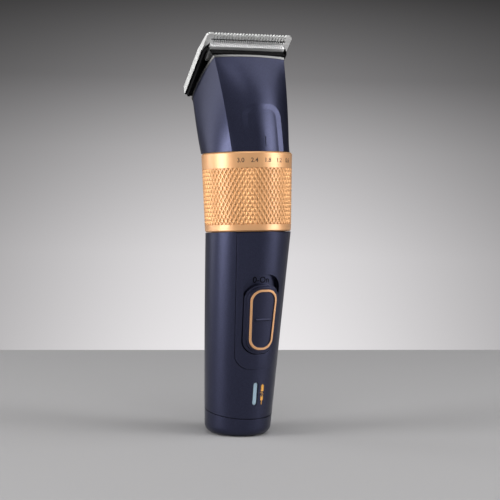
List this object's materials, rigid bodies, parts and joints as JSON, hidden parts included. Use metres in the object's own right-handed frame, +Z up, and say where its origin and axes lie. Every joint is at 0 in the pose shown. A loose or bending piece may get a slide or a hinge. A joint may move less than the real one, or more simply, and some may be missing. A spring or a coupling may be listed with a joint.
{
  "type": "hair clipper",
  "caption": "Upright cordless hair clipper: bowed tapering handle, knurled length ring, slide switch and a wide slanted steel blade set.",
  "frame": {"origin": "centre of the flat underside that the clipper stands on", "axes": "+Z up along the handle, -Y to the front with the switch, +Y to the back, X across the width"},
  "size_m": [0.0426, 0.0463, 0.1807],
  "materials": {
    "navy_shell": "satin dark blue lacquer on moulded plastic",
    "switch_navy": "satin dark blue plastic",
    "silver_trim": "satin plated trim",
    "copper_metal": "rose gold plating",
    "blade_steel": "ground steel",
    "screw_steel": "bright zinc",
    "spring_steel": "spring steel",
    "motor_steel": "zinc-plated can",
    "black_plastic": "black moulded plastic",
    "white_plastic": "acetal",
    "jack_plastic": "black socket body",
    "damper_rubber": "soft rubber",
    "cell_sleeve": "shrink sleeve",
    "board_green": "solder mask",
    "lens_clear": "frosted clear lens"
  },
  "bodies": {
    "housing": {"handle_housing": "navy_shell", "front_panel": "navy_shell", "base_cap": "navy_shell", "head_housing": "navy_shell", "mouth_bezel": "silver_trim", "rear_seat": "black_plastic", "blade_hinge_pin": "screw_steel", "detent_ball": "screw_steel", "detent_spring": "spring_steel", "motor": "motor_steel", "motor_mount": "black_plastic", "motor_damper": "damper_rubber", "battery_cell": "cell_sleeve", "inner_chassis": "black_plastic", "circuit_board": "board_green", "battery_contacts": "spring_steel", "charging_jack": "jack_plastic", "switch_module": "black_plastic", "led_lens": "lens_clear", "light_pipe": "lens_clear"},
    "taper_ring": {"ring_sleeve": "copper_metal", "knurled_band": "copper_metal"},
    "taper_fork": {"taper_slider": "black_plastic"},
    "blade_block": {"blade_carrier": "black_plastic", "fixed_blade": "blade_steel", "blade_screws": "screw_steel"},
    "carriage": {"cutter_carriage": "black_plastic", "tension_spring": "spring_steel"},
    "cutter": {"cutter_blade": "blade_steel", "cutter_holder": "black_plastic"},
    "rotor": {"motor_shaft": "screw_steel", "drive_cam": "white_plastic"},
    "power_switch": {"switch_button": "switch_navy", "switch_trim": "copper_metal"}
  },
  "joints": [
    {"name": "taper_turn", "type": "hinge", "parent": "housing", "child": "taper_ring", "pos_m": [0, -0.00624, 0.0919], "axis": [0, 0.0854, 0.9963], "range_deg": [-35, 35]},
    {"name": "taper_lift", "type": "slide", "parent": "housing", "child": "taper_fork", "axis": [0, 0.0854, 0.9963], "range_m": [-0.0017, 0.0017]},
    {"name": "blade_release", "type": "hinge", "parent": "housing", "child": "blade_block", "pos_m": [0, 0.01686, 0.15138], "axis": [-1, 0, 0], "range_deg": [0, 35]},
    {"name": "taper_shift", "type": "slide", "parent": "blade_block", "child": "carriage", "axis": [0, -0.6428, 0.766], "range_m": [-0.00121, 0.00121]},
    {"name": "cutter_swing", "type": "slide", "parent": "carriage", "child": "cutter", "axis": [1, 0, 0], "range_m": [-0.0009, 0.0009]},
    {"name": "motor_spin", "type": "hinge", "parent": "housing", "child": "rotor", "pos_m": [0, -0.00624, 0.0919], "axis": [0, 0.0854, 0.9963], "continuous": true},
    {"name": "switch_slide", "type": "slide", "parent": "housing", "child": "power_switch", "axis": [0, -0.1151, 0.9934], "range_m": [0, 0.0042]}
  ],
  "couplings": [
    {"joint": "taper_lift", "follows": "taper_turn", "m_per_rad": -0.0027733},
    {"joint": "taper_shift", "follows": "taper_turn", "m_per_rad": -0.0019644}
  ]
}
